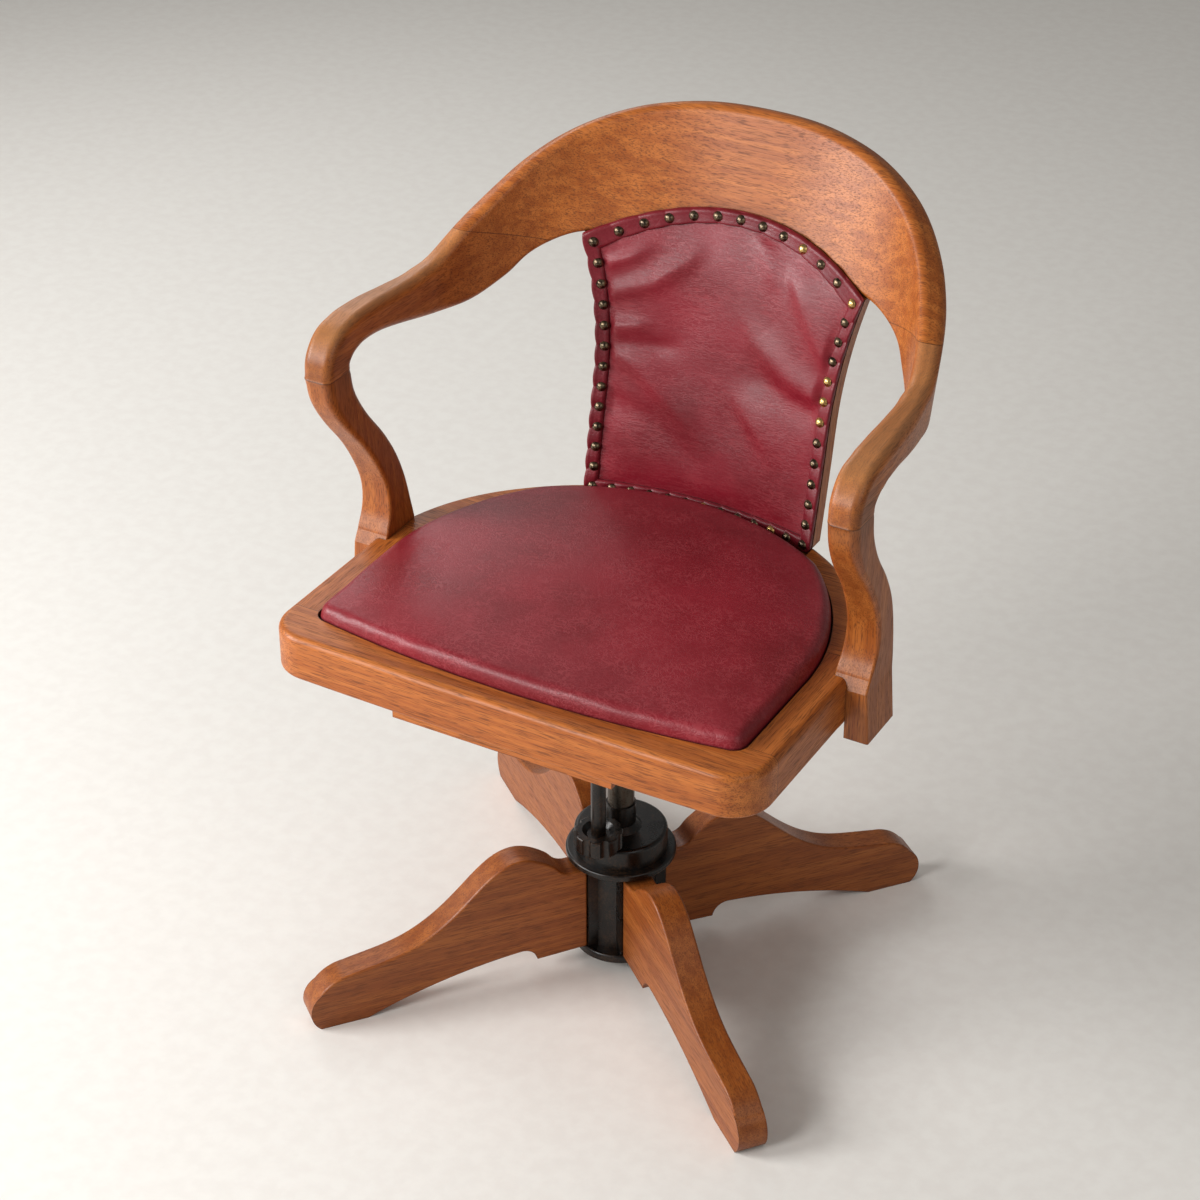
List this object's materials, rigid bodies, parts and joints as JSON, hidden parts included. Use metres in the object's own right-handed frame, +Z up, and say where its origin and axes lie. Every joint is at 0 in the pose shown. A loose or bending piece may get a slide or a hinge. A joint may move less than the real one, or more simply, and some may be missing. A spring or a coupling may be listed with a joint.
{
  "type": "captains chair",
  "caption": "Oak captain's desk chair with leather seat and back, on a splayed leg base with an iron action that swivels, tilts and sets the seat height.",
  "frame": {"origin": "on the floor, under the middle of the whole chair's box; the spindle's axis is 13.4 mm in front of it", "axes": "+Z up, the sitter faces -Y, +X is the sitter's left"},
  "size_m": [0.5982, 0.5912, 0.8567],
  "materials": {
    "oak": "satin",
    "leather": "satin",
    "brass": "antique",
    "iron": "satin",
    "steel": "satin"
  },
  "bodies": {
    "base": {"hub": "iron", "leg_back_left": "oak", "leg_back_right": "oak", "leg_front_left": "oak", "leg_front_right": "oak"},
    "height_nut": {"height_nut": "iron"},
    "spindle": {"spindle": "steel"},
    "spider": {"spider": "iron", "tilt_pin": "steel"},
    "seat": {"seat_iron": "iron", "iron_screws": "steel", "seat_board": "oak", "board_screws": "steel", "front_rail": "oak", "side_rail_left": "oak", "side_rail_right": "oak", "back_rail": "oak", "seat_panel": "oak", "seat_cushion": "leather", "post_left": "oak", "post_right": "oak", "post_screws": "steel", "knuckle_dowels": "oak", "arm_left": "oak", "arm_right": "oak", "crest_rail": "oak", "back_splat": "oak", "back_pad": "leather", "back_banding": "leather", "dome_nails": "brass"},
    "tension": {"tension_rod": "iron", "hand_wheel": "iron"},
    "tension_nut": {"tension_nut": "iron", "tension_spring": "steel"}
  },
  "joints": [
    {"name": "nut_turn", "type": "hinge", "parent": "base", "child": "height_nut", "pos_m": [0, -0.0134, 0.145], "axis": [0, 0, -1], "range_deg": [0, 4500]},
    {"name": "seat_height", "type": "slide", "parent": "base", "child": "spindle", "axis": [0, 0, 1], "range_m": [0, 0.0755]},
    {"name": "seat_swivel", "type": "hinge", "parent": "spindle", "child": "spider", "pos_m": [0, -0.0134, 0.27], "axis": [0, 0, 1], "continuous": true},
    {"name": "seat_tilt", "type": "hinge", "parent": "spider", "child": "seat", "pos_m": [0, -0.0134, 0.342], "axis": [-1, 0, 0], "range_deg": [0, 12], "stiffness_Nm_per_rad": 120, "springref_deg": -5.73, "deforming": ["tension_spring"]},
    {"name": "tension_turn", "type": "hinge", "parent": "spider", "child": "tension", "pos_m": [0, -0.0614, 0.29], "axis": [0, 0, 1], "range_deg": [-720, 720]},
    {"name": "tension_nut_slide", "type": "slide", "parent": "spider", "child": "tension_nut", "axis": [0, 0, 1], "range_m": [-0.0061, 0.0061], "deforming": ["tension_spring"]}
  ],
  "couplings": [
    {"joint": "seat_height", "follows": "nut_turn", "m_per_rad": 0.00095493},
    {"joint": "tension_nut_slide", "follows": "tension_turn", "m_per_rad": -0.00047746}
  ]
}
